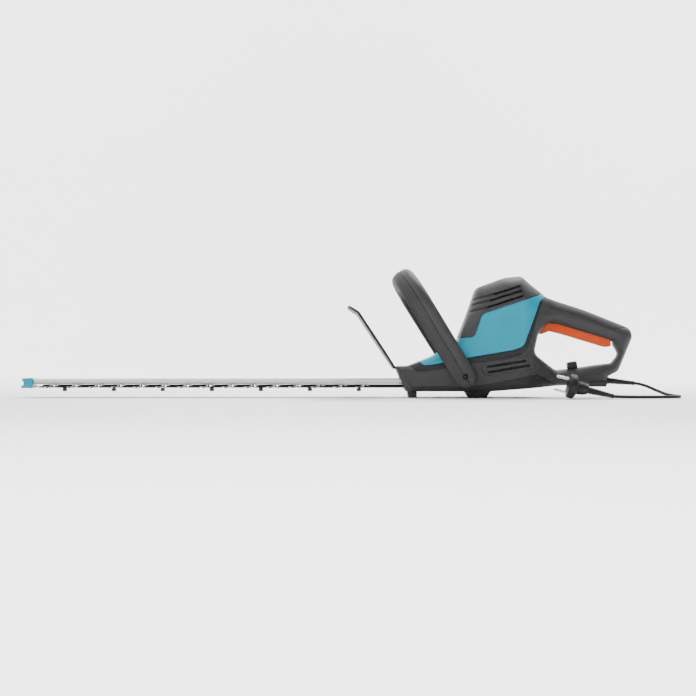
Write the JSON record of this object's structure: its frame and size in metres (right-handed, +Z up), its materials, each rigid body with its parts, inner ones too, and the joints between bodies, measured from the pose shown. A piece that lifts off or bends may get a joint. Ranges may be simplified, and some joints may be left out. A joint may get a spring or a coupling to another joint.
{
  "type": "hedge trimmer",
  "caption": "Corded hedge trimmer with a long double-sided reciprocating blade, front loop handle, hand guard, motor dome and trigger handle.",
  "frame": {"origin": "on the surface that the feet stand on, below the middle of the tool without its cord", "axes": "+X from the blade tip to the rear handle, +Z up, +Y to the far side"},
  "size_m": [0.9646, 0.1652, 0.1882],
  "materials": {
    "graphite": "fine moulded grain",
    "turquoise": "satin moulded plastic",
    "orange": "satin moulded plastic",
    "soft_grip": "soft moulded rubber",
    "black": "moulded plastic",
    "cord_black": "flexible cord sheath",
    "steel": "ground steel",
    "aluminium": "extruded and anodised",
    "copper": "copper winding",
    "brass": "sintered bronze and brass",
    "nickel": "nickel-plated"
  },
  "bodies": {
    "body": {"blade_bolt_1": "steel", "blade_bolt_2": "steel", "blade_bolt_3": "steel", "blade_bolt_4": "steel", "blade_bolt_5": "steel", "blade_bolt_6": "steel", "blade_bolt_7": "steel", "bottom_cover": "black", "brush_left": "brass", "brush_right": "brass", "cable_hook": "black", "capacitor": "black", "case_screw_1": "steel", "case_screw_2": "steel", "case_screw_3": "steel", "case_screw_4": "steel", "case_screw_5": "steel", "case_screw_6": "steel", "cord_sleeve": "cord_black", "front_handle_front": "soft_grip", "front_handle_rear": "graphite", "gear_bearing": "brass", "gear_plate": "aluminium", "guard_collar": "graphite", "guide_bar": "aluminium", "guide_strip": "steel", "hand_guard": "black", "handle_screw_left": "steel", "handle_screw_right": "steel", "left_housing": "graphite", "lower_bearing": "nickel", "motor_bracket": "aluminium", "motor_hood": "turquoise", "plug": "cord_black", "plug_pin_lower": "nickel", "plug_pin_upper": "nickel", "power_cord": "cord_black", "rear_grip": "soft_grip", "right_housing": "graphite", "stator": "steel", "switch_body": "black", "tip_guard": "turquoise", "tip_guard_screw": "steel", "trigger_pin": "steel", "trigger_spring": "steel", "upper_bearing": "nickel"},
    "trigger": {"trigger": "orange"},
    "front_switch": {"front_switch_bar": "black"},
    "upper_blade": {"upper_blade": "steel"},
    "lower_blade": {"lower_blade": "steel"},
    "gear_train": {"drive_gear": "steel", "gear_shaft": "steel", "eccentric": "steel"},
    "motor_rotor": {"rotor": "copper", "commutator": "copper", "pinion": "brass", "fan": "black"}
  },
  "joints": [
    {"name": "trigger_squeeze", "type": "hinge", "parent": "body", "child": "trigger", "pos_m": [0.408, 0, 0.0915], "axis": [0, 1, 0], "range_deg": [0, 4], "stiffness_Nm_per_rad": 3, "deforming": ["trigger_spring"]},
    {"name": "front_switch_squeeze", "type": "slide", "parent": "body", "child": "front_switch", "axis": [-0.5246, 0, 0.8514], "range_m": [0, 0.005], "stiffness_N_per_m": 800},
    {"name": "upper_blade_slide", "type": "slide", "parent": "body", "child": "upper_blade", "axis": [1, 0, 0], "range_m": [-0.012, 0.004]},
    {"name": "lower_blade_slide", "type": "slide", "parent": "body", "child": "lower_blade", "axis": [1, 0, 0], "range_m": [-0.004, 0.012]},
    {"name": "drive_gear_spin", "type": "hinge", "parent": "body", "child": "gear_train", "pos_m": [0.2215, 0, 0.0455], "axis": [0, 0, 1], "continuous": true},
    {"name": "motor_spin", "type": "hinge", "parent": "body", "child": "motor_rotor", "pos_m": [0.262, 0, 0.1], "axis": [0, 0, 1], "continuous": true}
  ],
  "couplings": [
    {"joint": "lower_blade_slide", "follows": "upper_blade_slide", "ratio": -1},
    {"joint": "motor_spin", "follows": "drive_gear_spin", "ratio": -4}
  ]
}
